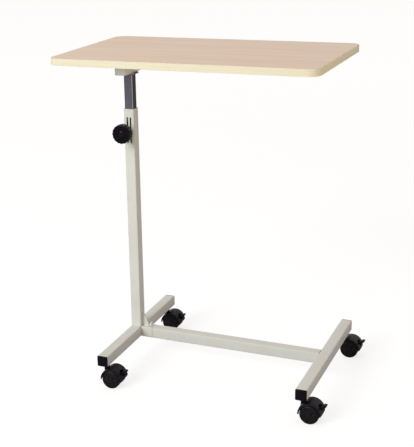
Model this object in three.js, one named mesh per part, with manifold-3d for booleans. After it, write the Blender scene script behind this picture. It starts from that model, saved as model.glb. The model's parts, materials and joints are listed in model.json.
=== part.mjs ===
// Overbed table: a board on a telescopic side mast, an H-shaped tube base and four
// twin-wheel casters with brake pedals. Millimetres, +Z up, origin on the floor under
// the middle of the object's box. +X runs from the mast to the free end of the board,
// and the user's side of the board is -Y.

import * as THREE from 'three';
import { mergeVertices } from 'three/addons/utils/BufferGeometryUtils.js';
import Module from 'manifold-3d';

const wasm = await Module();
wasm.setup();

// ---- Driving dimensions -------------------------------------------------------------

const GAP = 0.3; // free space kept between two touching pieces
const OVERLAP = 1; // how far one solid runs into another before they are joined or cut

const TABLE_LENGTH = 700;
const TABLE_DEPTH = 420;
const TABLE_HEIGHT = 885; // board surface, in the stored setting of the mast
const TABLE_THICKNESS = 18;
const TABLE_CORNER_RADIUS = 30;
const BAND_THICKNESS = 1.6;
const BAND_CLEARANCE = 0.1; // between the band and the board's core
const TABLE_OVERHANG = 130; // board beyond the mast axis, on the mast's side

const TUBE = 30; // outside width of the square tube of the frame
const TUBE_WALL = 1.5;
const TUBE_CORNER = 3;
const TUBE_BORE = TUBE - 2 * TUBE_WALL;
const PLUG_SIZE = TUBE_BORE - 2 * GAP; // whatever goes into the bore of a frame tube
const PLUG_WALL = 2;
const PLUG_CORNER = 1.2;
const INSERT_CORNER = 1; // of the plugs' thin moulded skirts
const FOOT_LENGTH = 470; // over the end caps
const FOOT_SPACING = 550; // between the two feet's centre lines
const FOOT_UNDERSIDE = 64;
const FOOT_TOP = FOOT_UNDERSIDE + TUBE;
const END_CAP_HEAD = 3;
const END_CAP_INSERT = 14;

const JOINT_OFFSET = 50; // mast axis to the seam in the crossbar
const SPIGOT_LENGTH = 130;
const SPIGOT_SETBACK = 2; // socket's inner end to the spigot
const BOLT_OFFSET = 41; // mast axis to the bolt that locks the crossbar
const BOLT_HEAD_RADIUS = 5;
const BOLT_HEAD_HEIGHT = 4;
const BOLT_RADIUS = 3;
const BOLT_RISE = 8; // above the crossbar, inside the cap nut
const NUT_RADIUS = 5.6;
const NUT_SHOULDER = 4;
const NUT_HEIGHT = 12;
const GUSSET_WIDTH = 19;
const GUSSET_HEIGHT = 39;
const GUSSET_THICKNESS = 3;
const GUSSET_NOSE = 3; // the blunt edge left at each end of its slope

const MAST_TOP = 724;
const SLOT_SPACING = 9.4; // between the two slots beside the clamping tongue
const SLOT_WIDTH = 4.4;
const SLOT_BOTTOM = 630;
const SLOT_TOP = 702;
const SLOT_END_RADIUS = SLOT_WIDTH / 2 - 0.01; // a hair less, so that the end arcs stay apart
const CLAMP_HEIGHT = (SLOT_BOTTOM + SLOT_TOP) / 2;

const INNER_TUBE = 25;
const INNER_TUBE_LENGTH = 592;
const INNER_TUBE_CORNER = 3;
const GLIDE_HEIGHT = 12;
const GLIDE_INSERT = 16;
const BUSH_HEIGHT = 112; // a plastic liner that also backs the slots
const BUSH_CLEARANCE = 0.2; // between the liner and the tube on either side of it
const BUSH_CORNER = 1.3;
const BUSH_SETBACK = 0.5; // below the mast's rim

const RAIL_LENGTH = 490;
const RAIL_WIDTH = 25;
const RAIL_HEIGHT = 15;
const RAIL_WALL = 1.5;
const RAIL_OVERHANG = 90; // rail beyond the mast axis, on the mast's side
const RAIL_SPACING = 84; // between the two rails' centre lines
const SCREW_INSET = 30; // rail's end to its screw
const SCREW_HOLE_RADIUS = 2.3;
const SCREW_HOLE_DEPTH = 11.5;
const SCREW_RADIUS = 1.9;
const SCREW_HEAD_RADIUS = 4.4;
const SCREW_HEAD_HEIGHT = 2.2;
const SCREW_TIP_RISE = 10.5; // into the board, with the last part a cone
const SCREW_CONE = 2.5;
const CARRIER_LENGTH = 120;
const CARRIER_WIDTH = 30;
const CARRIER_HEIGHT = 30;
const CARRIER_WALL = 2;
const HEAD_PLATE = { length: 40, depth: 34, height: 3.7 };

const KNOB_DIAMETER = 52;
const KNOB_RIM_DEPTH = 22;
const KNOB_FACE = 68; // mast axis to the knob's outer face
const KNOB_LOBES = 16;
const KNOB_LOBE_DEPTH = 0.8;
const KNOB_GROOVE = { outer: 18, inner: 11, depth: 2 };
const KNOB_CAP_RADIUS = 9.5;
const KNOB_CAP_DEPTH = 4;
const KNOB_HUB_RADIUS = 12;
const KNOB_STAND_OFF = 1.5; // hub to boss, room for the knob to tighten
const BOSS_DIAMETER = 16;
const BOSS_DEPTH = 11;
const STUD_RADIUS = 4;
const STUD_TIP_RADIUS = STUD_RADIUS - 2 * GAP;
const STUD_TIP_LENGTH = 2;
const STUD_INSET = 12; // knob's face to the stud's end
const TONGUE_HOLE_RADIUS = STUD_RADIUS - GAP;
const PAD_THICKNESS = 3;

const WHEEL_DIAMETER = 50;
const WHEEL_WIDTH = 16.7;
const WHEEL_PAIR_WIDTH = 50;
const CASTER_TRAIL = 20; // stem axis to axle
const CASTER_STATION = 207; // crossbar axis to stem axis
const HOOD_RADIUS = 31;
const HOOD_WALL = 2.6;
const HOOD_WIDTH = 50.8;
const PEDAL_REACH = 60; // stem axis to the pedal's tip
const PEDAL_WIDTH = 15.6;

// ---- Places that follow from them ---------------------------------------------------

const MAST_X = (TABLE_OVERHANG - FOOT_SPACING - PEDAL_REACH) / 2;
const RIGHT_FOOT_X = MAST_X + FOOT_SPACING;
const TABLE_X = MAST_X - TABLE_OVERHANG + TABLE_LENGTH / 2;
const BOARD_UNDERSIDE = TABLE_HEIGHT - TABLE_THICKNESS;
const RAIL_UNDERSIDE = BOARD_UNDERSIDE - GAP - RAIL_HEIGHT;
const CARRIER_UNDERSIDE = RAIL_UNDERSIDE - GAP - CARRIER_HEIGHT;
const HEAD_PLATE_UNDERSIDE = CARRIER_UNDERSIDE - GAP - HEAD_PLATE.height;
const INNER_TUBE_TOP = HEAD_PLATE_UNDERSIDE - GAP;
const INNER_TUBE_BOTTOM = INNER_TUBE_TOP - INNER_TUBE_LENGTH;
const SCREW_STATIONS = [
  MAST_X - RAIL_OVERHANG + SCREW_INSET,
  MAST_X - RAIL_OVERHANG + RAIL_LENGTH - SCREW_INSET,
];

// ---- Paints and plastics ------------------------------------------------------------

const finish = (color, roughness, metalness = 0.0) => () => (
  new THREE.MeshStandardMaterial({ color, roughness, metalness })
);
const paint = finish('#dcdace', 0.45);
const chrome = finish('#b8b8bd', 0.15, 1.0);
const steel = finish('#9a9a98', 0.4, 1.0);
const blackPlastic = finish('#1b181b', 0.5);
const beech = finish('#dec6b2', 0.5);
const cream = finish('#f2e8d2', 0.5);

// ---- Solid helpers ------------------------------------------------------------------

// A closed surface with merged corners, no flat slivers, and its faces pointing out.
function closed(geometry) {
  const bare = geometry.index ? geometry.toNonIndexed() : geometry.clone();
  bare.deleteAttribute('normal');
  bare.deleteAttribute('uv');
  const merged = mergeVertices(bare, 1e-3);
  const corners = merged.index.array;
  const kept = [];
  for (let i = 0; i < corners.length; i += 3) {
    const [a, b, c] = corners.slice(i, i + 3);
    if (a !== b && b !== c && c !== a) kept.push(a, b, c);
  }
  if (signedVolume(merged, kept) < 0) kept.reverse();
  merged.setIndex(kept);
  return merged;
}

function signedVolume(geometry, corners) {
  const [a, b, c] = [new THREE.Vector3(), new THREE.Vector3(), new THREE.Vector3()];
  const points = geometry.getAttribute('position');
  let volume = 0;
  for (let i = 0; i < corners.length; i += 3) {
    a.fromBufferAttribute(points, corners[i]);
    b.fromBufferAttribute(points, corners[i + 1]);
    c.fromBufferAttribute(points, corners[i + 2]);
    volume += a.dot(b.cross(c)) / 6;
  }
  return volume;
}

function solid(geometry) {
  const surface = closed(geometry);
  return new wasm.Manifold(new wasm.Mesh({
    numProp: 3,
    vertProperties: surface.getAttribute('position').array,
    triVerts: Uint32Array.from(surface.index.array),
  }));
}

function surfaceOf(body) {
  const mesh = body.getMesh();
  const geometry = new THREE.BufferGeometry();
  geometry.setAttribute('position', new THREE.BufferAttribute(mesh.vertProperties, 3));
  geometry.setIndex(new THREE.BufferAttribute(mesh.triVerts, 1));
  return geometry;
}

function subtract(geometry, ...tools) {
  return surfaceOf(tools.reduce((body, tool) => body.subtract(solid(tool)), solid(geometry)));
}

function join(geometry, ...others) {
  return surfaceOf(others.reduce((body, other) => body.add(solid(other)), solid(geometry)));
}

// ---- Shape helpers ------------------------------------------------------------------

function roundedRectangle(width, height, radius, Outline = THREE.Shape) {
  const x = width / 2 - radius;
  const y = height / 2 - radius;
  const outline = new Outline();
  outline.absarc(x, -y, radius, -Math.PI / 2, 0);
  outline.absarc(x, y, radius, 0, Math.PI / 2);
  outline.absarc(-x, y, radius, Math.PI / 2, Math.PI);
  outline.absarc(-x, -y, radius, Math.PI, 1.5 * Math.PI);
  outline.closePath();
  return outline;
}

function squareTubeSection(size, wall, corner) {
  const section = roundedRectangle(size, size, corner);
  const bore = size - 2 * wall;
  section.holes.push(roundedRectangle(bore, bore, Math.max(corner - wall, 0.5), THREE.Path));
  return section;
}

// Pushes a section by a length along one axis, centred on the origin.
function bar(section, length, axis = 'z', curveSegments = 3) {
  const geometry = new THREE.ExtrudeGeometry(section, { depth: length, bevelEnabled: false, curveSegments });
  geometry.translate(0, 0, -length / 2);
  return pointAlong(geometry, axis);
}

// Turns a profile of [radius, height] points about one axis. A closed profile makes a ring.
function turned(profile, axis = 'z', segments = 20) {
  const points = profile.map(([radius, height]) => new THREE.Vector2(radius, height));
  const geometry = new THREE.LatheGeometry(points, segments);
  geometry.rotateX(Math.PI / 2);
  return pointAlong(geometry, axis);
}

function ring(outerRadius, innerRadius, bottom, top, axis = 'z', segments = 20) {
  const profile = [[innerRadius, bottom], [outerRadius, bottom], [outerRadius, top], [innerRadius, top]];
  return turned([...profile, profile[0]], axis, segments);
}

function rod(radius, bottom, top, axis = 'z', segments = 20) {
  return turned([[0, bottom], [radius, bottom], [radius, top], [0, top]], axis, segments);
}

function pointAlong(geometry, axis) {
  if (axis === 'x') geometry.rotateY(Math.PI / 2);
  if (axis === 'y') geometry.rotateX(-Math.PI / 2);
  return geometry;
}

function block(length, depth, height) {
  return new THREE.BoxGeometry(length, depth, height);
}

function add(group, name, geometry, material, x = 0, y = 0, z = 0) {
  const mesh = new THREE.Mesh(closed(geometry), material);
  mesh.name = name;
  mesh.position.set(x, y, z);
  group.add(mesh);
}

const table = new THREE.Group();

// ---- Base: two feet, the crossbar joint and the end caps ----------------------------

const SOCKET_HOLE_RADIUS = 7.2;
const BOLT_HOLE_RADIUS = 3.4;

function addFoot(side, footX) {
  const footTubeLength = FOOT_LENGTH - 2 * (END_CAP_HEAD + GAP);
  const section = squareTubeSection(TUBE, TUBE_WALL, TUBE_CORNER);
  const holes = [-CASTER_STATION, CASTER_STATION].map(
    (y) => rod(SOCKET_HOLE_RADIUS, -TUBE / 2 - OVERLAP, 0, 'z', 16).translate(0, y, 0),
  );
  const foot = subtract(bar(section, footTubeLength, 'y'), ...holes);
  const footZ = FOOT_UNDERSIDE + TUBE / 2;
  add(table, `${side}_foot_tube`, foot, paint(), footX, 0, footZ);

  for (const [end, sign] of [['front', -1], ['back', 1]]) {
    const head = bar(roundedRectangle(TUBE, TUBE, TUBE_CORNER), END_CAP_HEAD, 'y');
    const skirt = squareTubeSection(PLUG_SIZE, PLUG_WALL, INSERT_CORNER);
    const insert = bar(skirt, END_CAP_INSERT + OVERLAP, 'y', 1);
    insert.translate(0, -sign * (END_CAP_HEAD / 2 + (END_CAP_INSERT - OVERLAP) / 2), 0);
    const y = sign * (FOOT_LENGTH - END_CAP_HEAD) / 2;
    add(table, `${side}_${end}_end_cap`, join(head, insert), blackPlastic(), footX, y, footZ);
  }
}

function addCrossbar() {
  const z = FOOT_UNDERSIDE + TUBE / 2;
  const section = squareTubeSection(TUBE, TUBE_WALL, TUBE_CORNER);
  const boltX = MAST_X + BOLT_OFFSET;
  const boltHole = (x) => rod(BOLT_HOLE_RADIUS, -TUBE, TUBE, 'z', 12).translate(boltX - x, 0, 0);

  const socketStart = MAST_X + TUBE / 2 + GAP;
  const socketEnd = MAST_X + JOINT_OFFSET - GAP;
  const socketX = (socketStart + socketEnd) / 2;
  const socket = subtract(bar(section, socketEnd - socketStart, 'x'), boltHole(socketX));
  add(table, 'crossbar_socket', socket, paint(), socketX, 0, z);

  const barStart = MAST_X + JOINT_OFFSET + GAP;
  const barEnd = RIGHT_FOOT_X - TUBE / 2 - GAP;
  add(table, 'crossbar_tube', bar(section, barEnd - barStart, 'x'), paint(), (barStart + barEnd) / 2, 0, z);

  const spigotStart = socketStart + SPIGOT_SETBACK;
  const spigotX = spigotStart + SPIGOT_LENGTH / 2;
  const spigotSection = squareTubeSection(PLUG_SIZE, PLUG_WALL, PLUG_CORNER);
  const spigot = subtract(bar(spigotSection, SPIGOT_LENGTH, 'x', 1), boltHole(spigotX));
  add(table, 'crossbar_spigot', spigot, steel(), spigotX, 0, z);

  const headTop = FOOT_UNDERSIDE - GAP;
  const headBottom = headTop - BOLT_HEAD_HEIGHT;
  const boltTop = FOOT_TOP + BOLT_RISE;
  const bolt = turned([
    [0, headBottom], [BOLT_HEAD_RADIUS, headBottom], [BOLT_HEAD_RADIUS, headTop],
    [BOLT_RADIUS, headTop], [BOLT_RADIUS, boltTop], [0, boltTop],
  ], 'z', 12);
  add(table, 'crossbar_bolt', bolt, steel(), boltX, 0, 0);

  const dome = [[4.6, 7.5], [2.6, 10.8], [0, NUT_HEIGHT]];
  const nut = subtract(
    turned([[0, 0], [NUT_RADIUS, 0], [NUT_RADIUS, NUT_SHOULDER], ...dome], 'z', 12),
    rod(BOLT_RADIUS + GAP, -OVERLAP, BOLT_RISE + GAP, 'z', 12),
  );
  add(table, 'crossbar_cap_nut', nut, chrome(), boltX, 0, FOOT_TOP + GAP);
}

function addGusset() {
  const plate = new THREE.Shape();
  plate.moveTo(0, 0);
  plate.lineTo(GUSSET_WIDTH, 0);
  plate.lineTo(GUSSET_WIDTH, GUSSET_NOSE);
  plate.lineTo(GUSSET_NOSE, GUSSET_HEIGHT);
  plate.lineTo(0, GUSSET_HEIGHT);
  plate.closePath();
  const gusset = new THREE.ExtrudeGeometry(plate, { depth: GUSSET_THICKNESS, bevelEnabled: false });
  gusset.translate(0, 0, -GUSSET_THICKNESS / 2);
  gusset.rotateX(Math.PI / 2);
  add(table, 'gusset_plate', gusset, paint(), MAST_X + TUBE / 2 + GAP, 0, FOOT_TOP + GAP);
}

// ---- Outer mast with its clamping tongue, bush and knob -----------------------------

function addOuterMast() {
  const bottom = FOOT_TOP + GAP;
  const length = MAST_TOP - bottom;
  const middle = bottom + length / 2;
  const slotHeight = SLOT_TOP - SLOT_BOTTOM;
  const cutDepth = 4 * TUBE_WALL;
  const slot = (x) => {
    const outline = roundedRectangle(SLOT_WIDTH, slotHeight, SLOT_END_RADIUS);
    return bar(outline, cutDepth, 'y', 2).translate(x, -TUBE / 2, CLAMP_HEIGHT - middle);
  };
  const studHole = rod(TONGUE_HOLE_RADIUS, (-TUBE - cutDepth) / 2, (-TUBE + cutDepth) / 2, 'y', 12);
  studHole.translate(0, 0, CLAMP_HEIGHT - middle);
  const mast = subtract(
    bar(squareTubeSection(TUBE, TUBE_WALL, TUBE_CORNER), length),
    slot(-SLOT_SPACING / 2), slot(SLOT_SPACING / 2), studHole,
  );
  add(table, 'outer_mast_tube', mast, paint(), MAST_X, 0, middle);

  const bushSize = TUBE_BORE - 2 * BUSH_CLEARANCE;
  const bushWall = (bushSize - INNER_TUBE - 2 * BUSH_CLEARANCE) / 2;
  const bushMiddle = MAST_TOP - BUSH_SETBACK - BUSH_HEIGHT / 2;
  const padHole = rod(TONGUE_HOLE_RADIUS, -bushSize, 0, 'y', 12);
  padHole.translate(0, 0, CLAMP_HEIGHT - bushMiddle);
  const bushSection = squareTubeSection(bushSize, bushWall, BUSH_CORNER);
  const bush = subtract(bar(bushSection, BUSH_HEIGHT, 'z', 1), padHole);
  add(table, 'mast_guide_bush', bush, blackPlastic(), MAST_X, 0, bushMiddle);
}

function lobedOutline(radius, lobes, depth, steps) {
  const outline = new THREE.Shape();
  for (let i = 0; i < steps; i += 1) {
    const angle = (2 * Math.PI * i) / steps;
    const r = radius - (depth * (1 - Math.cos(lobes * angle))) / 2;
    const corner = [r * Math.cos(angle), r * Math.sin(angle)];
    if (i === 0) outline.moveTo(...corner);
    else outline.lineTo(...corner);
  }
  outline.closePath();
  return outline;
}

function addClamp() {
  const face = -KNOB_FACE;
  const rimBack = face + KNOB_RIM_DEPTH;
  const bossBack = -TUBE / 2 - GAP;
  const bossFront = bossBack - BOSS_DEPTH;
  const place = [MAST_X, 0, CLAMP_HEIGHT];

  const boss = ring(BOSS_DIAMETER / 2, STUD_RADIUS + GAP, bossFront, bossBack, 'y', 16);
  add(table, 'clamp_boss', boss, paint(), ...place);

  const padFace = -INNER_TUBE / 2 - GAP;
  const padBack = padFace - PAD_THICKNESS;
  add(table, 'clamp_pad', rod(STUD_TIP_RADIUS, padBack, padFace, 'y', 12), blackPlastic(), ...place);

  const studTip = padBack - GAP;
  const studEnd = face + STUD_INSET;
  const stud = rod(STUD_RADIUS, studEnd, studTip - STUD_TIP_LENGTH + OVERLAP, 'y', 12);
  const tip = rod(STUD_TIP_RADIUS, studTip - STUD_TIP_LENGTH, studTip, 'y', 12);
  add(table, 'clamp_stud', join(stud, tip), steel(), ...place);

  const rimOutline = lobedOutline(KNOB_DIAMETER / 2, KNOB_LOBES, KNOB_LOBE_DEPTH, 64);
  const rim = bar(rimOutline, KNOB_RIM_DEPTH, 'y').translate(0, (face + rimBack) / 2, 0);
  const hub = rod(KNOB_HUB_RADIUS, rimBack - 4 * OVERLAP, bossFront - KNOB_STAND_OFF, 'y', 16);
  const { outer, inner, depth } = KNOB_GROOVE;
  const faceGroove = ring(outer, inner, face - OVERLAP, face + depth, 'y', 20);
  const capSeat = rod(KNOB_CAP_RADIUS, face - OVERLAP, face + KNOB_CAP_DEPTH, 'y', 16);
  const studBore = rod(STUD_RADIUS + GAP, studEnd - GAP, 0, 'y', 12);
  const knob = subtract(join(rim, hub), faceGroove, capSeat, studBore);
  add(table, 'clamp_knob', knob, blackPlastic(), ...place);

  const cap = rod(KNOB_CAP_RADIUS - GAP, face, face + KNOB_CAP_DEPTH - GAP, 'y', 16);
  add(table, 'clamp_knob_cap', cap, blackPlastic(), ...place);
}

// ---- Inner mast and the head that carries the board ---------------------------------

function addInnerMast() {
  const section = squareTubeSection(INNER_TUBE, TUBE_WALL, INNER_TUBE_CORNER);
  const middle = (INNER_TUBE_BOTTOM + INNER_TUBE_TOP) / 2;
  add(table, 'inner_mast_tube', bar(section, INNER_TUBE_LENGTH), chrome(), MAST_X, 0, middle);

  const foot = bar(roundedRectangle(PLUG_SIZE, PLUG_SIZE, PLUG_CORNER), GLIDE_HEIGHT, 'z', 1);
  const insertSize = INNER_TUBE - 2 * TUBE_WALL - 2 * GAP;
  const insert = bar(squareTubeSection(insertSize, PLUG_WALL, INSERT_CORNER), GLIDE_INSERT, 'z', 1);
  insert.translate(0, 0, GLIDE_HEIGHT / 2 + GLIDE_INSERT / 2 - OVERLAP);
  const glideZ = INNER_TUBE_BOTTOM - GAP - GLIDE_HEIGHT / 2;
  add(table, 'inner_mast_glide', join(foot, insert), blackPlastic(), MAST_X, 0, glideZ);

  const plate = block(HEAD_PLATE.length, HEAD_PLATE.depth, HEAD_PLATE.height);
  add(table, 'mast_head_plate', plate, steel(), MAST_X, 0, HEAD_PLATE_UNDERSIDE + HEAD_PLATE.height / 2);
}

function addHead() {
  const inside = 2 * CARRIER_WALL;
  const pocket = block(CARRIER_WIDTH - inside, CARRIER_LENGTH - inside, CARRIER_HEIGHT);
  pocket.translate(0, 0, CARRIER_WALL);
  const carrier = subtract(block(CARRIER_WIDTH, CARRIER_LENGTH, CARRIER_HEIGHT), pocket);
  carrier.translate(0, 0, CARRIER_HEIGHT / 2);
  add(table, 'head_carrier', carrier, paint(), MAST_X, 0, CARRIER_UNDERSIDE);

  const railX = MAST_X - RAIL_OVERHANG + RAIL_LENGTH / 2;
  const railSection = roundedRectangle(RAIL_HEIGHT, RAIL_WIDTH, RAIL_WALL);
  const railBore = [RAIL_HEIGHT - 2 * RAIL_WALL, RAIL_WIDTH - 2 * RAIL_WALL];
  railSection.holes.push(roundedRectangle(...railBore, 0.5, THREE.Path));
  for (const [side, sign] of [['front', -1], ['back', 1]]) {
    const y = (sign * RAIL_SPACING) / 2;
    const holes = SCREW_STATIONS.map(
      (x) => rod(SCREW_HOLE_RADIUS, -RAIL_HEIGHT, RAIL_HEIGHT, 'z', 8).translate(x - railX, 0, 0),
    );
    const rail = subtract(bar(railSection, RAIL_LENGTH, 'x', 1), ...holes);
    add(table, `${side}_rail`, rail, paint(), railX, y, RAIL_UNDERSIDE + RAIL_HEIGHT / 2);
    SCREW_STATIONS.forEach((x, i) => {
      const headTop = RAIL_UNDERSIDE - GAP;
      const headBottom = headTop - SCREW_HEAD_HEIGHT;
      const tip = BOARD_UNDERSIDE + SCREW_TIP_RISE;
      const chamfer = SCREW_HEAD_HEIGHT / 2;
      const screw = turned([
        [0, headBottom], [SCREW_HEAD_RADIUS - chamfer, headBottom],
        [SCREW_HEAD_RADIUS, headBottom + chamfer], [SCREW_HEAD_RADIUS, headTop],
        [SCREW_RADIUS, headTop], [SCREW_RADIUS, tip - SCREW_CONE], [0, tip],
      ], 'z', 8);
      add(table, `${side}_rail_screw_${i + 1}`, screw, steel(), x, y, 0);
    });
  }
}

function addBoard() {
  const inset = 2 * (BAND_THICKNESS + BAND_CLEARANCE);
  const boardOutline = roundedRectangle(
    TABLE_LENGTH - inset, TABLE_DEPTH - inset, TABLE_CORNER_RADIUS - inset / 2,
  );
  const holes = [];
  for (const x of SCREW_STATIONS) {
    for (const sign of [-1, 1]) {
      const hole = rod(SCREW_HOLE_RADIUS, -TABLE_THICKNESS, SCREW_HOLE_DEPTH - TABLE_THICKNESS / 2, 'z', 8);
      holes.push(hole.translate(x - TABLE_X, (sign * RAIL_SPACING) / 2, 0));
    }
  }
  const board = subtract(bar(boardOutline, TABLE_THICKNESS, 'z', 6), ...holes);
  add(table, 'tabletop_board', board, beech(), TABLE_X, 0, BOARD_UNDERSIDE + TABLE_THICKNESS / 2);

  const bandSection = roundedRectangle(TABLE_LENGTH, TABLE_DEPTH, TABLE_CORNER_RADIUS);
  const inner = 2 * BAND_THICKNESS;
  bandSection.holes.push(roundedRectangle(
    TABLE_LENGTH - inner, TABLE_DEPTH - inner, TABLE_CORNER_RADIUS - inner / 2, THREE.Path,
  ));
  const band = bar(bandSection, TABLE_THICKNESS, 'z', 6);
  add(table, 'edge_band', band, cream(), TABLE_X, 0, BOARD_UNDERSIDE + TABLE_THICKNESS / 2);
}

// ---- Casters ------------------------------------------------------------------------

const AXLE_RADIUS = 3;
const AXLE_HEIGHT = WHEEL_DIAMETER / 2;
const HUBCAP_THICKNESS = 3; // what closes each wheel's bore from outside
const WEB_WIDTH = 11;
const STEM_BOSS_RADIUS = 7.5;
const STEM_BOSS_TOP = 61;
const STEM_LOWER_RADIUS = 3.7;
const STEM_UPPER_RADIUS = 5.2;
const STEM_BORE_BOTTOM = 12; // above the axle
const SOCKET_FLANGE_RADIUS = 9;
const SOCKET_FLANGE_HEIGHT = 1.4;
const SOCKET_CLEARANCE = 0.2; // stem to socket, and socket to the hole in the foot
const SOCKET_HEADROOM = 2.5; // socket's top to the tube's ceiling
const PEDAL_WINDOW = { length: 24, height: 15, sill: 8.5 }; // its sill is above the axle
const PEDAL_PIVOT = { x: 17, z: 12.5 }; // from the axle
const PEDAL_BARREL_WIDTH = 7.4;
const TRUNNION_RADIUS = 2;
const LUG_RADIUS = 4.2;
const LUG_WIDTH = 3.8;
const LUG_START = THREE.MathUtils.degToRad(52); // where the lugs and the web meet the shell
const WEB_START = THREE.MathUtils.degToRad(70);
const WEB_EYE_RADIUS = 8;

// The hood is drawn in the X-Z plane around the axle, then pushed along Y.
function hoodShell() {
  const outline = new THREE.Shape();
  outline.absarc(0, 0, HOOD_RADIUS, 0, Math.PI);
  outline.absarc(0, 0, HOOD_RADIUS - HOOD_WALL, Math.PI, 0, true);
  outline.closePath();
  return upright(bar(outline, HOOD_WIDTH, 'z', 16));
}

function hoodWeb() {
  const reach = HOOD_RADIUS - HOOD_WALL / 2;
  const outline = new THREE.Shape();
  outline.absarc(0, 0, reach, WEB_START, Math.PI);
  outline.absarc(0, 0, WEB_EYE_RADIUS, Math.PI, 2 * Math.PI);
  outline.closePath();
  return upright(bar(outline, WEB_WIDTH, 'z', 6));
}

// Two plates that hang from the hood and hold the brake pedal's trunnions.
function hoodLug(side) {
  const { x, z } = PEDAL_PIVOT;
  const reach = HOOD_RADIUS - HOOD_WALL / 2;
  const outline = new THREE.Shape();
  outline.absarc(0, 0, reach, LUG_START, WEB_START);
  outline.absarc(x, z, LUG_RADIUS, Math.PI, 2 * Math.PI);
  outline.closePath();
  const hole = new THREE.Path();
  hole.absarc(x, z, TRUNNION_RADIUS + GAP, 0, 2 * Math.PI);
  outline.holes.push(hole);
  const lug = upright(bar(outline, LUG_WIDTH, 'z', 6));
  return lug.translate(0, side * (PEDAL_BARREL_WIDTH / 2 + GAP + LUG_WIDTH / 2), 0);
}

// Drawing plane X-Y to object plane X-Z: the drawing's +Y becomes +Z.
function upright(geometry) {
  return geometry.rotateX(Math.PI / 2);
}

function hoodGeometry() {
  const stem = -CASTER_TRAIL;
  const bossTop = STEM_BOSS_TOP - AXLE_HEIGHT;
  const boss = rod(STEM_BOSS_RADIUS, STEM_BORE_BOTTOM / 2, bossTop, 'z', 12).translate(stem, 0, 0);
  const stemBore = rod(STEM_LOWER_RADIUS + GAP, STEM_BORE_BOTTOM, bossTop + OVERLAP, 'z', 12);
  stemBore.translate(stem, 0, 0);
  const axleBore = rod(AXLE_RADIUS + GAP, -HOOD_WIDTH, HOOD_WIDTH, 'y', 12);
  const { length, height, sill } = PEDAL_WINDOW;
  const pedalWindow = block(length, PEDAL_WIDTH + 2, height);
  pedalWindow.translate(HOOD_RADIUS - length / 4, 0, sill + height / 2);
  const openShell = subtract(hoodShell(), pedalWindow);
  return subtract(join(openShell, hoodWeb(), boss, hoodLug(-1), hoodLug(1)), stemBore, axleBore);
}

function wheelGeometry() {
  const radius = WHEEL_DIAMETER / 2;
  const bore = AXLE_RADIUS + GAP;
  return turned([
    [0, WHEEL_WIDTH], [radius - 2, WHEEL_WIDTH], [radius, WHEEL_WIDTH - 3],
    [radius, 0], [bore, 0], [bore, WHEEL_WIDTH - HUBCAP_THICKNESS], [0, WHEEL_WIDTH - HUBCAP_THICKNESS],
  ], 'y', 28);
}

// The pedal is drawn around its own pivot: a barrel with an arm, trunnions and a foot plate.
function pedalGeometry() {
  const tip = { x: PEDAL_REACH - CASTER_TRAIL - PEDAL_PIVOT.x, z: 11.5 };
  const arm = new THREE.Shape();
  arm.absarc(0, 0, LUG_RADIUS, 0.3 * Math.PI, 1.6 * Math.PI);
  arm.lineTo(10, 1.2);
  arm.lineTo(10, 6.6);
  arm.closePath();
  const plate = new THREE.Shape();
  plate.moveTo(tip.x, tip.z);
  plate.lineTo(tip.x - 5, tip.z + 1.4);
  plate.lineTo(6.5, 5.8);
  plate.lineTo(7.5, -0.1);
  plate.lineTo(tip.x - 3, tip.z - 4.4);
  plate.lineTo(tip.x, tip.z - 2.2);
  plate.closePath();
  const trunnions = rod(TRUNNION_RADIUS, -PEDAL_WIDTH / 2, PEDAL_WIDTH / 2, 'y', 12);
  const barrel = upright(bar(arm, PEDAL_BARREL_WIDTH, 'z', 6));
  return join(barrel, upright(bar(plate, PEDAL_WIDTH, 'z')), trunnions);
}

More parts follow.
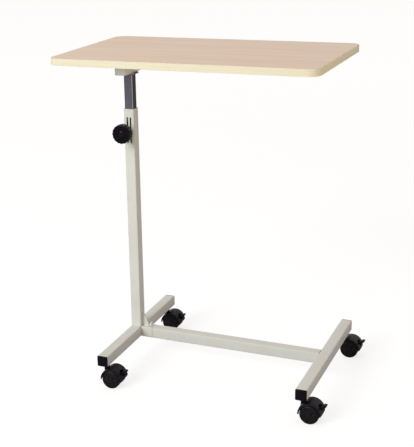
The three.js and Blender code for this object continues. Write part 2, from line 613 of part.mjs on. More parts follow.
function addCaster(name, stemX, stemY) {
  const caster = new THREE.Group();
  caster.position.set(stemX, stemY, 0);
  table.add(caster);

  const flangeTop = FOOT_UNDERSIDE - GAP;
  const flangeBottom = flangeTop - SOCKET_FLANGE_HEIGHT;
  const socketTop = FOOT_TOP - TUBE_WALL - SOCKET_HEADROOM;
  const socketRadius = SOCKET_HOLE_RADIUS - SOCKET_CLEARANCE;
  const socketBore = STEM_UPPER_RADIUS + SOCKET_CLEARANCE;
  const socketProfile = [
    [socketBore, flangeBottom], [SOCKET_FLANGE_RADIUS, flangeBottom],
    [SOCKET_FLANGE_RADIUS, flangeTop], [socketRadius, flangeTop],
    [socketRadius, socketTop], [socketBore, socketTop], [socketBore, flangeBottom],
  ];
  add(caster, `${name}_stem_socket`, turned(socketProfile, 'z', 16), blackPlastic());

  const stemBottom = AXLE_HEIGHT + STEM_BORE_BOTTOM + GAP;
  const collarBottom = STEM_BOSS_TOP + GAP;
  const stemTop = socketTop - 2;
  const stem = turned([
    [0, stemBottom], [STEM_LOWER_RADIUS, stemBottom], [STEM_LOWER_RADIUS, collarBottom],
    [STEM_UPPER_RADIUS, collarBottom], [STEM_UPPER_RADIUS, stemTop - 1.5], [3.5, stemTop], [0, stemTop],
  ], 'z', 12);
  add(caster, `${name}_stem`, stem, steel());

  add(caster, `${name}_hood`, hoodGeometry(), blackPlastic(), CASTER_TRAIL, 0, AXLE_HEIGHT);

  const axleReach = WHEEL_PAIR_WIDTH / 2 - HUBCAP_THICKNESS - GAP;
  const axle = rod(AXLE_RADIUS, -axleReach, axleReach, 'y', 12);
  add(caster, `${name}_axle`, axle, steel(), CASTER_TRAIL, 0, AXLE_HEIGHT);

  const innerFace = WHEEL_PAIR_WIDTH / 2 - WHEEL_WIDTH;
  const backWheel = wheelGeometry().translate(0, innerFace, 0);
  const frontWheel = wheelGeometry().rotateZ(Math.PI).translate(0, -innerFace, 0);
  add(caster, `${name}_front_wheel`, frontWheel, blackPlastic(), CASTER_TRAIL, 0, AXLE_HEIGHT);
  add(caster, `${name}_back_wheel`, backWheel, blackPlastic(), CASTER_TRAIL, 0, AXLE_HEIGHT);

  const pivot = [CASTER_TRAIL + PEDAL_PIVOT.x, 0, AXLE_HEIGHT + PEDAL_PIVOT.z];
  add(caster, `${name}_brake_pedal`, pedalGeometry(), blackPlastic(), ...pivot);
}

// ---- Assembly -----------------------------------------------------------------------

addFoot('left', MAST_X);
addFoot('right', RIGHT_FOOT_X);
addCrossbar();
addGusset();
addOuterMast();
addClamp();
addInnerMast();
addHead();
addBoard();
addCaster('front_left', MAST_X, -CASTER_STATION);
addCaster('front_right', RIGHT_FOOT_X, -CASTER_STATION);
addCaster('back_left', MAST_X, CASTER_STATION);
addCaster('back_right', RIGHT_FOOT_X, CASTER_STATION);

export default table;
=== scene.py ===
import json
import math

import bmesh
import bpy
from mathutils import Matrix, Vector


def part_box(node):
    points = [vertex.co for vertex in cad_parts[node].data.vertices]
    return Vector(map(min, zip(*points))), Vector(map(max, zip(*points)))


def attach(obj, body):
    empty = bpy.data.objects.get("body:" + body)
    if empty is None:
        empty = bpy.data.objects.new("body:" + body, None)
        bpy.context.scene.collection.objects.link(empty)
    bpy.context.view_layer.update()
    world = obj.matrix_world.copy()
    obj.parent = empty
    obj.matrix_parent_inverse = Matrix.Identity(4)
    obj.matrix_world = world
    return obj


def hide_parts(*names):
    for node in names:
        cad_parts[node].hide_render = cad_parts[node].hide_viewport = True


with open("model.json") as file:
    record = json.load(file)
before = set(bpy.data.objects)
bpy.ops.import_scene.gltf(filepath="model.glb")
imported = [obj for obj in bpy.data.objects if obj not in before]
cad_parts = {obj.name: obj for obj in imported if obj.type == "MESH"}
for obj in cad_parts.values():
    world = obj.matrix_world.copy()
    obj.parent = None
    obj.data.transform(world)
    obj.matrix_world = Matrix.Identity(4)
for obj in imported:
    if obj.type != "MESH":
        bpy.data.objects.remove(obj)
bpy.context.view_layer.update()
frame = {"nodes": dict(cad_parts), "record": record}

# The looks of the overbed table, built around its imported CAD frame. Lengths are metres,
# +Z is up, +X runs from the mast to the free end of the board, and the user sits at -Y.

MM = 0.001

# ---- Driving dimensions ---------------------------------------------------------------

TUBE_WALL = 1.5 * MM
TUBE_CORNER = 3 * MM
CHROME_CORNER = 3 * MM
LEAST_BORE_CORNER = 0.4 * MM
CAP_HEAD = 3 * MM
CAP_SKIRT_WALL = 2 * MM
CAP_SKIRT_PLAY = 0.6 * MM
BAR_BOLT_HOLE = 3.4 * MM
BAR_BOLT_RADIUS = 3 * MM
BAR_BOLT_HEAD_RADIUS = 5 * MM
BAR_BOLT_HEAD_HEIGHT = 4 * MM
NUT_HEX_HEIGHT = 5 * MM
NUT_DOME_RADIUS = 4.7 * MM
NUT_DOME_BASE = 6.4 * MM
NUT_DOME_RISE = 5.5 * MM
NUT_BORE = 3.3 * MM
NUT_BORE_DEPTH = 8.3 * MM
GUSSET_NOSE = 3 * MM

WELD_RADIUS = 1.7 * MM
WELD_SIDES = 12
WELD_RING_SPACING = 0.7 * MM
WELD_RIPPLE = 0.10
WELD_RIPPLE_PITCH = 2.6 * MM
WELD_TIP = 0.15
WELD_BLUNTNESS = 8
WELD_SINK = 0.1 * MM
WELD_END_GAP = 1 * MM

SLOT_SPACING = 9.4 * MM
SLOT_WIDTH = 4.4 * MM
SLOT_LENGTH = 72 * MM
STUD_HOLE = 3.7 * MM
BUSH_WALL = 0.6 * MM
BUSH_CORNER = 1.3 * MM
CLAMP_BORE = 4.3 * MM
CLAMP_NUT_CHAMFER = 1.2 * MM

KNOB_SKIRT = 22 * MM
KNOB_EDGE = 2.6 * MM
KNOB_GROOVE = 1.7 * MM
KNOB_LOBES = 16
KNOB_LOBE_DEPTH = 0.8 * MM
KNOB_LOBE_START = 22 * MM
KNOB_RIBS = 12
KNOB_RIB_START = 13.2 * MM
KNOB_RIB_END = 19 * MM
KNOB_RIB_DROP = 0.3 * MM
KNOB_RIB_STEEPNESS = 2.2

PLATE_CORNER = 3.5 * MM
CARRIER_WALL = 2 * MM
CARRIER_CORNER = 2.5 * MM
CARRIER_POCKET_CORNER = 1 * MM
RAIL_CORNER = 2 * MM
SCREW_HOLE = 2.3 * MM
SCREW_HOLE_SPARE = 0.7 * MM
SCREW_CORE = 1.5 * MM
SCREW_CREST = 1.9 * MM
SCREW_PITCH = 1.6 * MM
SCREW_THREAD_START = 3 * MM
SCREW_CROSS = (4.6 * MM, 0.9 * MM)
SCREW_CROSS_DEPTH = 1.3 * MM
BOARD_CORNER = 28.3 * MM
BAND_CORNER = BOARD_CORNER + 1.7 * MM
BAND_WALL = 1.6 * MM

WHEEL_RADIUS = 25 * MM
WHEEL_FACE = 25 * MM
WHEEL_INNER_SIDE = 8.3 * MM
WHEEL_BORE = 3.3 * MM
WHEEL_SPOKES = 6
WHEEL_SPOKE_START = 9.2 * MM
WHEEL_SPOKE_END = 17.8 * MM
WHEEL_SPOKE_RISE = 1.5 * MM
WHEEL_SPOKE_STEEPNESS = 3
WHEEL_DISH = 1.8 * MM

CASTER_TRAIL = 20 * MM
SOCKET_HOLE = 7.2 * MM
HOOD_RADIUS = 31 * MM
HOOD_WALL = 2.6 * MM
HOOD_HALF_WIDTH = 25.4 * MM
HOOD_LIP = 25.3 * MM
HOOD_LIP_WALL = 1.3 * MM
HOOD_SHOULDER = 3.0 * MM
HOOD_CROWN = 0.9 * MM
WEB_THICKNESS = 11 * MM
WEB_HUB_RADIUS = 8 * MM
STEM_BOSS_RADIUS = 7.5 * MM
STEM_BOSS_LOW = 31 * MM
STEM_BOSS_TOP = 61 * MM
STEM_HOLE = 4.0 * MM
STEM_HOLE_LOW = 37 * MM
WINDOW_WIDTH = 17.6 * MM
WINDOW_HEIGHT = 15 * MM
WINDOW_CORNER = 2 * MM
WINDOW_RISE = 8.5 * MM
LUG_THICKNESS = 3.8 * MM
LUG_OFFSET = 5.9 * MM
PEDAL_PIVOT_X = 37 * MM
PEDAL_PIVOT_Z = 37.5 * MM
PEDAL_HOLE = 2.3 * MM
PEDAL_BARREL_RADIUS = 4.2 * MM
PEDAL_BARREL_WIDTH = 7.4 * MM
PEDAL_WIDTH = 15.6 * MM
PEDAL_TRUNNION_RADIUS = 2 * MM
PEDAL_RIDGE_RADIUS = 0.55 * MM
PEDAL_RIDGE_SINK = 0.25 * MM
PEDAL_RIDGE_END_GAP = 1.6 * MM
STEM_COLLAR = 61.3 * MM
STEM_LOWER_RADIUS = 3.7 * MM
STEM_UPPER_RADIUS = 5.2 * MM
STEM_TIP_RADIUS = 3.5 * MM
SOCKET_FLANGE_RADIUS = 9 * MM
SOCKET_FLANGE_HEIGHT = 1.4 * MM
SOCKET_BODY_RADIUS = 7.0 * MM
SOCKET_BORE = 5.4 * MM

SHARP_ANGLE = math.radians(32)

# ---- Camera, light and floor ----------------------------------------------------------

CAMERA_TARGET = Vector((-0.198, 0.0, 0.3707))
CAMERA_AZIMUTH = math.radians(24.61)
CAMERA_ELEVATION = math.radians(18.48)
CAMERA_ROLL = math.radians(-1.757)
CAMERA_DISTANCE = 2.873
CAMERA_LENS = 83.218
CAMERA_SENSOR = 36
CAMERA_SHIFT = (0.13, 0.0241)
CAMERA_REACH = 200

KEY_TARGET = Vector((0, 0, 0.5))
KEY_DIRECTION = Vector((-0.40, -0.82, 0.42)).normalized()
KEY_DISTANCE = 5.0
KEY_SIZE = 2.6
KEY_POWER = 166
KEY_COLOUR = (0.965, 1.0, 0.995)

AMBIENT_DEPTH = (-0.4, 0.8)
AMBIENT_FRONT = 0.30
AMBIENT_BACK = 0.82
AMBIENT_TINT = (1.0, 0.93, 0.89, 1)

FLOOR_RADIUS = 60
FLOOR_SHADE = (0.36, 0.35, 0.345, 1)
FLOOR_GLOW_REACH = (1.0, 5.0)
FLOOR_GLOW_NEAR = 0.77
FLOOR_GLOW_FAR = 0.81
PAPER_EDGE = (2.4, 3.2)
PAPER_ALBEDO = 0.52
STUDIO_ALBEDO = 0.24
REFLECTOR_LEFT_EDGE = (0.9, 1.6)
REFLECTOR_BACK_EDGE = (0.9, 0.3)
REFLECTOR_GLOW = 1.15
REFLECTOR_TINT = (1.0, 0.84, 0.56, 1)


def add_node(tree, kind, inputs, **settings):
    """Adds a shader node; each input is a plain value or the output that feeds it."""
    node = tree.nodes.new("ShaderNode" + kind)
    for name, value in settings.items():
        setattr(node, name, value)
    for name, value in inputs.items():
        if isinstance(value, bpy.types.NodeSocket):
            tree.links.new(value, node.inputs[name])
        else:
            node.inputs[name].default_value = value
    return node


def ramp(tree, value, start, end, low, high):
    """Goes from low to high as a value goes from start to end, and stays level beyond both."""
    inputs = {"Value": value, "From Min": start, "From Max": end, "To Min": low, "To Max": high}
    return add_node(tree, "MapRange", inputs).outputs["Result"]


def add_camera():
    back = Vector((
        math.sin(CAMERA_AZIMUTH) * math.cos(CAMERA_ELEVATION),
        -math.cos(CAMERA_AZIMUTH) * math.cos(CAMERA_ELEVATION),
        math.sin(CAMERA_ELEVATION),
    ))
    right = Vector((0, 0, 1)).cross(back).normalized()
    up = back.cross(right)
    turned_right = math.cos(CAMERA_ROLL) * right + math.sin(CAMERA_ROLL) * up
    turned_up = math.cos(CAMERA_ROLL) * up - math.sin(CAMERA_ROLL) * right
    camera = bpy.data.objects.new("camera", bpy.data.cameras.new("camera"))
    camera.data.lens = CAMERA_LENS
    camera.data.sensor_width = CAMERA_SENSOR
    camera.data.shift_x, camera.data.shift_y = CAMERA_SHIFT
    camera.data.clip_end = CAMERA_REACH
    facing = Matrix((turned_right, turned_up, back)).transposed().to_4x4()
    camera.matrix_world = Matrix.Translation(CAMERA_TARGET + CAMERA_DISTANCE * back) @ facing
    bpy.context.scene.collection.objects.link(camera)
    bpy.context.scene.camera = camera


def add_key_light():
    lamp = bpy.data.lights.new("key_softbox", "AREA")
    lamp.size = KEY_SIZE
    lamp.energy = KEY_POWER
    lamp.color = KEY_COLOUR
    softbox = bpy.data.objects.new("key_softbox", lamp)
    softbox.location = KEY_TARGET + KEY_DISTANCE * KEY_DIRECTION
    softbox.rotation_euler = KEY_DIRECTION.to_track_quat("Z", "Y").to_euler()
    bpy.context.scene.collection.objects.link(softbox)


def add_studio_air():
    """A studio that is white to the camera, and casts a warm light, weaker from the front."""
    world = bpy.data.worlds.new("studio")
    world.use_nodes = True
    bpy.context.scene.world = world
    tree = world.node_tree
    direction = add_node(tree, "TexCoord", {}).outputs["Generated"]
    depth = add_node(tree, "SeparateXYZ", {"Vector": direction}).outputs["Y"]
    glow = ramp(tree, depth, *AMBIENT_DEPTH, AMBIENT_FRONT, AMBIENT_BACK)
    room = add_node(tree, "Background", {"Color": AMBIENT_TINT, "Strength": glow}).outputs[0]
    backdrop = tree.nodes["Background"]
    backdrop.inputs["Color"].default_value = (1, 1, 1, 1)
    seen = add_node(tree, "LightPath", {}).outputs["Is Camera Ray"]
    mixed = add_node(tree, "MixShader", {0: seen, 1: room, 2: backdrop.outputs[0]}).outputs[0]
    tree.links.new(mixed, tree.nodes["World Output"].inputs["Surface"])


def add_floor():
    """A wide pale sweep that keeps only a faint shadow. To the light it is a sheet of paper on a
    darker studio floor, with a glowing reflector at its right."""
    shape = bmesh.new()
    bmesh.ops.create_circle(shape, cap_ends=True, radius=FLOOR_RADIUS, segments=48)
    floor = bpy.data.objects.new("floor", bpy.data.meshes.new("floor"))
    shape.to_mesh(floor.data)
    shape.free()
    bpy.context.scene.collection.objects.link(floor)
    material = bpy.data.materials.new("floor_sweep")
    material.use_nodes = True
    tree = material.node_tree
    tree.nodes.remove(tree.nodes["Principled BSDF"])
    place = add_node(tree, "TexCoord", {}).outputs["Object"]
    distance = add_node(tree, "VectorMath", {0: place}, operation="LENGTH").outputs["Value"]

    glow = ramp(tree, distance, *FLOOR_GLOW_REACH, FLOOR_GLOW_NEAR, FLOOR_GLOW_FAR)
    faint = add_node(tree, "BsdfDiffuse", {"Color": FLOOR_SHADE}).outputs[0]
    lit = add_node(tree, "Emission", {"Strength": glow}).outputs[0]
    seen_floor = add_node(tree, "AddShader", {0: faint, 1: lit}).outputs[0]

    paper = ramp(tree, distance, *PAPER_EDGE, PAPER_ALBEDO, STUDIO_ALBEDO)
    matt = add_node(tree, "BsdfDiffuse", {"Color": paper}).outputs[0]
    split = add_node(tree, "SeparateXYZ", {"Vector": place})
    to_right = ramp(tree, split.outputs["X"], *REFLECTOR_LEFT_EDGE, 0.0, REFLECTOR_GLOW)
    to_front = ramp(tree, split.outputs["Y"], *REFLECTOR_BACK_EDGE, 0.0, 1.0)
    reflector = add_node(tree, "Math", {0: to_right, 1: to_front}, operation="MULTIPLY").outputs[0]
    glowing = add_node(tree, "Emission", {"Color": REFLECTOR_TINT, "Strength": reflector}).outputs[0]
    bounce = add_node(tree, "AddShader", {0: matt, 1: glowing}).outputs[0]

    seen = add_node(tree, "LightPath", {}).outputs["Is Camera Ray"]
    mixed = add_node(tree, "MixShader", {0: seen, 1: bounce, 2: seen_floor}).outputs[0]
    tree.links.new(mixed, tree.nodes["Material Output"].inputs["Surface"])
    floor.data.materials.append(material)


add_camera()
add_key_light()
add_studio_air()
add_floor()
bpy.context.scene.view_settings.view_transform = "Standard"

# ---- Materials ------------------------------------------------------------------------

PAINT_SHADE, PAINT_LIGHT = (0.745, 0.735, 0.675), (0.80, 0.79, 0.735)
BLACK_SHEEN = (0.95, 0.86, 1.0)
SATIN_BLACK = (0.005, 0.0035, 0.006)
CASTER_BLACK = (0.007, 0.0055, 0.0085)
TREAD_BLACK, TREAD_SCUFF = (0.007, 0.006, 0.007), (0.022, 0.020, 0.020)
CHROME = (0.285, 0.28, 0.345)
NICKEL = (0.88, 0.87, 0.83)
ZINC = (0.52, 0.52, 0.50)
BEECH_PALE = (0.950, 0.735, 0.520)
BEECH_WARM = (0.895, 0.615, 0.405)
BEECH_GRAIN = (0.740, 0.485, 0.315)
BEECH_FLECK = (0.560, 0.360, 0.230)
BACKING_SHADE, BACKING_LIGHT = (0.60, 0.575, 0.51), (0.68, 0.655, 0.59)
EDGING_SHADE, EDGING_LIGHT = (0.86, 0.78, 0.575), (0.91, 0.84, 0.640)

# The sockets of a Mix node that hold colours share their names with others, so they go by number.
MIX_COLOUR_A, MIX_COLOUR_B, MIX_COLOUR_RESULT = 6, 7, 2


class Finish:
    """A principled material built from noise in the object's own space."""

    def __init__(self, name, metallic=0.0, specular=0.5, tint=(1, 1, 1)):
        self.material = bpy.data.materials.new(name)
        self.material.use_nodes = True
        self.tree = self.material.node_tree
        self.shader = self.tree.nodes["Principled BSDF"]
        self.shader.inputs["Metallic"].default_value = metallic
        self.shader.inputs["Specular IOR Level"].default_value = specular
        self.shader.inputs["Specular Tint"].default_value = (*tint, 1)
        self.place = self.add("TexCoord", {}).outputs["Object"]

    def add(self, kind, inputs, **settings):
        return add_node(self.tree, kind, inputs, **settings)

    def stretched(self, x, y, z, place=None):
        inputs = {"Vector": place or self.place, "Scale": (x, y, z)}
        return self.add("Mapping", inputs).outputs["Vector"]

    def noise(self, scale, detail=2.0, vector=None):
        inputs = {"Vector": vector or self.place, "Scale": scale, "Detail": detail}
        return self.add("TexNoise", inputs).outputs["Fac"]

    def between(self, value, low, high, start=0.3, end=0.7):
        return ramp(self.tree, value, start, end, low, high)

    def blend(self, factor, first, second):
        """Mixes two colours, each a red, green and blue or the output that feeds it."""
        first, second = ((*end, 1) if isinstance(end, tuple) else end for end in (first, second))
        inputs = {"Factor": factor, MIX_COLOUR_A: first, MIX_COLOUR_B: second}
        return self.add("Mix", inputs, data_type="RGBA").outputs[MIX_COLOUR_RESULT]

    def colour(self, socket):
        self.tree.links.new(socket, self.shader.inputs["Base Color"])

    def roughness(self, socket):
        self.tree.links.new(socket, self.shader.inputs["Roughness"])

    def normal(self, socket):
        self.tree.links.new(socket, self.shader.inputs["Normal"])

    def bump(self, height, distance, strength=1.0, below=None):
        inputs = {"Height": height, "Distance": distance, "Strength": strength}
        if below:
            inputs["Normal"] = below
        return self.add("Bump", inputs).outputs["Normal"]


def powder_coat():
    """Sprayed paint: fine orange peel over long soft waves."""
    finish = Finish("warm_white_powder_coat", specular=0.35)
    tone = finish.between(finish.noise(9, detail=3), 0, 1)
    finish.colour(finish.blend(tone, PAINT_SHADE, PAINT_LIGHT))
    finish.roughness(finish.between(finish.noise(45, detail=3), 0.36, 0.50))
    peel = finish.bump(finish.noise(520, detail=2), distance=0.12 * MM, strength=0.5)
    finish.normal(finish.bump(finish.noise(60, detail=1), distance=0.4 * MM, strength=0.25, below=peel))
    return finish.material


def moulded_black(name, shade, roughness, grain):
    """Black plastic with the fine grain of its mould."""
    finish = Finish(name, specular=0.13, tint=BLACK_SHEEN)
    tone = finish.between(finish.noise(70, detail=3), 0, 1)
    light = tuple(1.5 * value for value in shade)
    finish.colour(finish.blend(tone, shade, light))
    finish.roughness(finish.between(finish.noise(160, detail=3), roughness - 0.07, roughness + 0.08))
    finish.normal(finish.bump(finish.noise(grain, detail=3), distance=0.08 * MM, strength=0.7))
    return finish.material


def wheel_nylon():
    """Black tread with the dull, paler film that a rolling wheel picks up."""
    finish = Finish("wheel_nylon", specular=0.24, tint=BLACK_SHEEN)
    scuffs = finish.between(finish.noise(260, detail=6), 0, 1, start=0.48, end=0.78)
    finish.colour(finish.blend(scuffs, TREAD_BLACK, TREAD_SCUFF))
    finish.roughness(finish.between(scuffs, 0.34, 0.62, start=0, end=1))
    finish.normal(finish.bump(finish.noise(900, detail=3), distance=0.06 * MM, strength=0.7))
    return finish.material


def plated(name, colour, roughness, brushing):
    """Bright metal, a little cloudy, with faint lines along Z."""
    finish = Finish(name, metallic=1.0)
    cloud = finish.between(finish.noise(22, detail=3), 0, 1)
    darker = tuple(0.88 * value for value in colour)
    finish.colour(finish.blend(cloud, darker, colour))
    lines = finish.noise(60, detail=4, vector=finish.stretched(14, 14, 0.5))
    finish.roughness(finish.between(lines, roughness * 0.75, roughness * 1.35))
    finish.normal(finish.bump(lines, distance=0.03 * MM, strength=brushing))
    return finish.material


def beech_laminate():
    """Light beech: soft broad bands, fine straight grain and the short dark flecks of the wood."""
    finish = Finish("beech_laminate")
    finish.shader.inputs["Coat Weight"].default_value = 0.7
    finish.shader.inputs["Coat Roughness"].default_value = 0.28
    sway = finish.between(finish.noise(1.6, detail=2), -12 * MM, 12 * MM)
    sideways = finish.add("CombineXYZ", {"Y": sway}).outputs[0]
    bent = finish.add("VectorMath", {0: finish.place, 1: sideways}, operation="ADD").outputs[0]

    def layer(detail, along, across, start, end):
        """Noise drawn out along the grain, with a scale along it and one across it."""
        noise = finish.noise(1, detail, finish.stretched(along, across, 1.0, place=bent))
        return finish.between(noise, 0, 1, start, end)

    broad = layer(3, 0.9, 24, 0.36, 0.64)
    fine = layer(4, 5, 420, 0.35, 0.68)
    flecks = layer(1, 110, 900, 0.66, 0.74)
    base = finish.blend(broad, BEECH_PALE, BEECH_WARM)
    grained = finish.blend(finish.between(fine, 0, 0.65, start=0, end=1), base, BEECH_GRAIN)
    finish.colour(finish.blend(finish.between(flecks, 0, 0.45, start=0, end=1), grained, BEECH_FLECK))
    finish.roughness(finish.between(fine, 0.40, 0.52, start=0, end=1))
    pores = finish.bump(fine, distance=0.05 * MM, strength=0.5)
    finish.normal(finish.bump(finish.noise(380, detail=2), distance=0.06 * MM, strength=0.35, below=pores))
    return finish.material


def backing_paper():
    """The plain pale sheet glued under the board to keep it flat."""
    finish = Finish("backing_paper")
    fibres = finish.between(finish.noise(140, detail=4), 0, 1)
    finish.colour(finish.blend(fibres, BACKING_SHADE, BACKING_LIGHT))
    finish.roughness(finish.between(finish.noise(30, detail=2), 0.55, 0.68))
    finish.normal(finish.bump(finish.noise(500, detail=3), distance=0.08 * MM, strength=0.5))
    return finish.material


def cream_edging():
    """Plastic edging with fine streaks along the board's side."""
    finish = Finish("cream_edging")
    streaks = finish.between(finish.noise(1, detail=3, vector=finish.stretched(5, 5, 260)), 0, 1)
    finish.colour(finish.blend(streaks, EDGING_SHADE, EDGING_LIGHT))
    finish.roughness(finish.between(finish.noise(90, detail=2), 0.38, 0.50))
    finish.normal(finish.bump(finish.noise(600, detail=2), distance=0.06 * MM, strength=0.5))
    return finish.material


finishes = {
    "frame_paint": powder_coat(),
    "black_plastic": moulded_black("satin_black_plastic", SATIN_BLACK, 0.27, 1400),
    "caster_plastic": moulded_black("moulded_black_nylon", CASTER_BLACK, 0.30, 900),
    "wheel_plastic": wheel_nylon(),
    "chrome": plated("chrome_plate", CHROME, 0.10, 0.15),
    "bright_nickel": plated("bright_nickel", NICKEL, 0.34, 0.2),
    "steel": plated("zinc_plated_steel", ZINC, 0.34, 0.6),
    "beech_laminate": beech_laminate(),
    "cream_edging": cream_edging(),
}

# ---- Mesh helpers ---------------------------------------------------------------------

ALONG_X = Matrix.Rotation(math.radians(90), 4, "Y")
ALONG_Y = Matrix.Rotation(math.radians(-90), 4, "X")
# Turns Z towards the user, and what was Y in an outline upwards.
FACING_USER = Matrix.Rotation(math.radians(90), 4, "X")
# Degrees round a shoulder at which its points lie.
SHOULDER_ANGLES = (20, 40, 60, 75)


def at(x, y, z):
    return Matrix.Translation((x, y, z))


def middle(node):
    low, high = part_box(node)
    return (low + high) / 2


def near(x, y, *steps):
    """Points that lie so many millimetres from (x, y)."""
    return [(x + right * MM, y + up * MM) for right, up in steps]


def ellipse(x, y, width, height, degrees):
    """Points at the given angles on an ellipse round (x, y), by its half width and half height."""
    angles = [math.radians(angle) for angle in degrees]
    return [(x + width * math.cos(angle), y + height * math.sin(angle)) for angle in angles]


def arc(x, y, radius, start, end, steps=12):
    degrees = [start + (end - start) * step / steps for step in range(steps + 1)]
    return ellipse(x, y, radius, radius, degrees)


def hexagon(radius):
    return arc(0, 0, radius, 0, 300, 5)


def rounded_rectangle(width, height, radius, steps=8):
    points = []
    for quarter, (side_x, side_y) in enumerate(((1, -1), (1, 1), (-1, 1), (-1, -1))):
        for step in range(steps + 1):
            angle = math.radians(90) * (quarter - 1 + step / steps)
            points.append((
                side_x * (width / 2 - radius) + radius * math.cos(angle),
                side_y * (height / 2 - radius) + radius * math.sin(angle),
            ))
    return points


def bridged(shape, loops, closed=False):
    """Joins loops of corners, each with as many corners as the last, with quads."""
    pairs = list(zip(loops, loops[1:]))
    if closed:
        pairs.append((loops[-1], loops[0]))
    for first, second in pairs:
        for i in range(len(first)):
            j = (i + 1) % len(first)
            shape.faces.new((first[i], first[j], second[j], second[i]))


def closed_ends(shape, loops):
    """Joins loops of corners and closes the first and the last one with a face."""
    bridged(shape, loops)
    shape.faces.new(list(reversed(loops[0])))
    shape.faces.new(loops[-1])


def extruded(outline, low, high, bore=None):
    """Pushes an outline along Z from low to high, round a bore with as many corners if one is given."""
    shape = bmesh.new()

    def loop(points, z):
        return [shape.verts.new((x, y, z)) for x, y in points]

    bottom, top = loop(outline, low), loop(outline, high)
    if bore:
        bridged(shape, [bottom, top, loop(bore, high), loop(bore, low)], closed=True)
    else:
        closed_ends(shape, [bottom, top])
    return shape


def turned(profile, segments=64, closed=False, relief=None):
    """Turns (radius, height) points about Z. A closed profile makes a ring.
    relief(radius, height, angle) moves a point of the surface, as for ribs or grip lobes."""
    shape = bmesh.new()
    loops = []
    for radius, height in profile:
        loop = []
        for step in range(segments):
            angle = 2 * math.pi * step / segments
            r, z = relief(radius, height, angle) if relief else (radius, height)
            loop.append(shape.verts.new((r * math.cos(angle), r * math.sin(angle), z)))
        loops.append(loop)
    bridged(shape, loops, closed)
    bmesh.ops.remove_doubles(shape, verts=shape.verts, dist=1e-7)
    return shape


def smooth(mesh):
    mesh.shade_smooth()
    mesh.set_sharp_from_angle(angle=SHARP_ANGLE)


def piece_from(shape, name, turn=Matrix.Identity(4)):
    """Makes an object of a bmesh, with its surface smooth across shallow angles only."""
    bmesh.ops.transform(shape, matrix=turn, verts=shape.verts)
    bmesh.ops.recalc_face_normals(shape, faces=shape.faces)
    mesh = bpy.data.meshes.new(name)
    shape.to_mesh(mesh)
    shape.free()
    piece = bpy.data.objects.new(name, mesh)
    bpy.context.scene.collection.objects.link(piece)
    smooth(mesh)
    return piece


def rod(radius, low, high, turn=Matrix.Identity(4), segments=32):
    profile = [(0, low), (radius, low), (radius, high), (0, high)]
    return piece_from(turned(profile, segments), "tool", turn)


def upright_plate(outline, thickness, x=0.0, y=0.0, z=0.0):
    """A plate drawn in X-Z, centred on y."""
    return piece_from(extruded(outline, -thickness / 2, thickness / 2), "tool", at(x, y, z) @ FACING_USER)


def tube(node, name, turn, corner=TUBE_CORNER, wall=TUBE_WALL):
    """A hollow section that fills a CAD node's box, along the axis that turn points Z to."""
    low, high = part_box(node)
    size = turn.to_3x3().transposed() @ (high - low)
    width, depth, length = (abs(value) for value in size)
    bore = rounded_rectangle(width - 2 * wall, depth - 2 * wall, max(corner - wall, LEAST_BORE_CORNER))
    shape = extruded(rounded_rectangle(width, depth, corner), -length / 2, length / 2, bore)
    return piece_from(shape, name, Matrix.Translation((low + high) / 2) @ turn)


def with_modifiers_applied(piece):
    bpy.context.view_layer.update()
    final = piece.evaluated_get(bpy.context.evaluated_depsgraph_get())
    mesh = bpy.data.meshes.new_from_object(final)
    piece.modifiers.clear()
    piece.data = mesh
    return piece


def combined(piece, operation, *tools):
    """Cuts the tools from a piece or adds them to it, and removes the tools."""
    for tool in tools:
        step = piece.modifiers.new("combine", "BOOLEAN")
        step.operation = operation
        step.solver = "EXACT"
        step.object = tool
        with_modifiers_applied(piece)
        bpy.data.objects.remove(tool)
    smooth(piece.data)
    return piece


def drilled(piece, radius, place, reach, segments=32):
    """Bores a hole along the Z of a place, as far to one side of it as to the other."""
    return combined(piece, "DIFFERENCE", rod(radius, -reach, reach, place, segments))


def soften(piece, width, segments=2):
    """Rounds the sharp edges, as a mould, a mill or a coat of paint leaves them."""
    step = piece.modifiers.new("rounded_edges", "BEVEL")
    step.width = width
    step.segments = segments
    step.limit_method = "ANGLE"
    step.angle_limit = SHARP_ANGLE
    step.harden_normals = True
    return piece


def finished(piece, slot, body, *nodes):
    piece.data.materials.clear()
    piece.data.materials.append(finishes[slot])
    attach(piece, body)
    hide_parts(*nodes)
    return piece


# ---- Base -----------------------------------------------------------------------------


def build_feet():
    for side in ("left", "right"):
        node = f"{side}_foot_tube"
        foot = tube(node, f"{side}_foot", ALONG_Y)
        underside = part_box(node)[0].z
        for end in ("front", "back"):
            stem = middle(f"{end}_{side}_stem")
            drilled(foot, SOCKET_HOLE, at(stem.x, stem.y, underside), reach=5 * MM)
        soften(foot, width=0.3 * MM)
        finished(foot, "frame_paint", "base", node)
        for end, outward in (("front", -1), ("back", 1)):
            build_end_cap(f"{side}_{end}_end_cap", f"{side}_{end}_cap", outward)


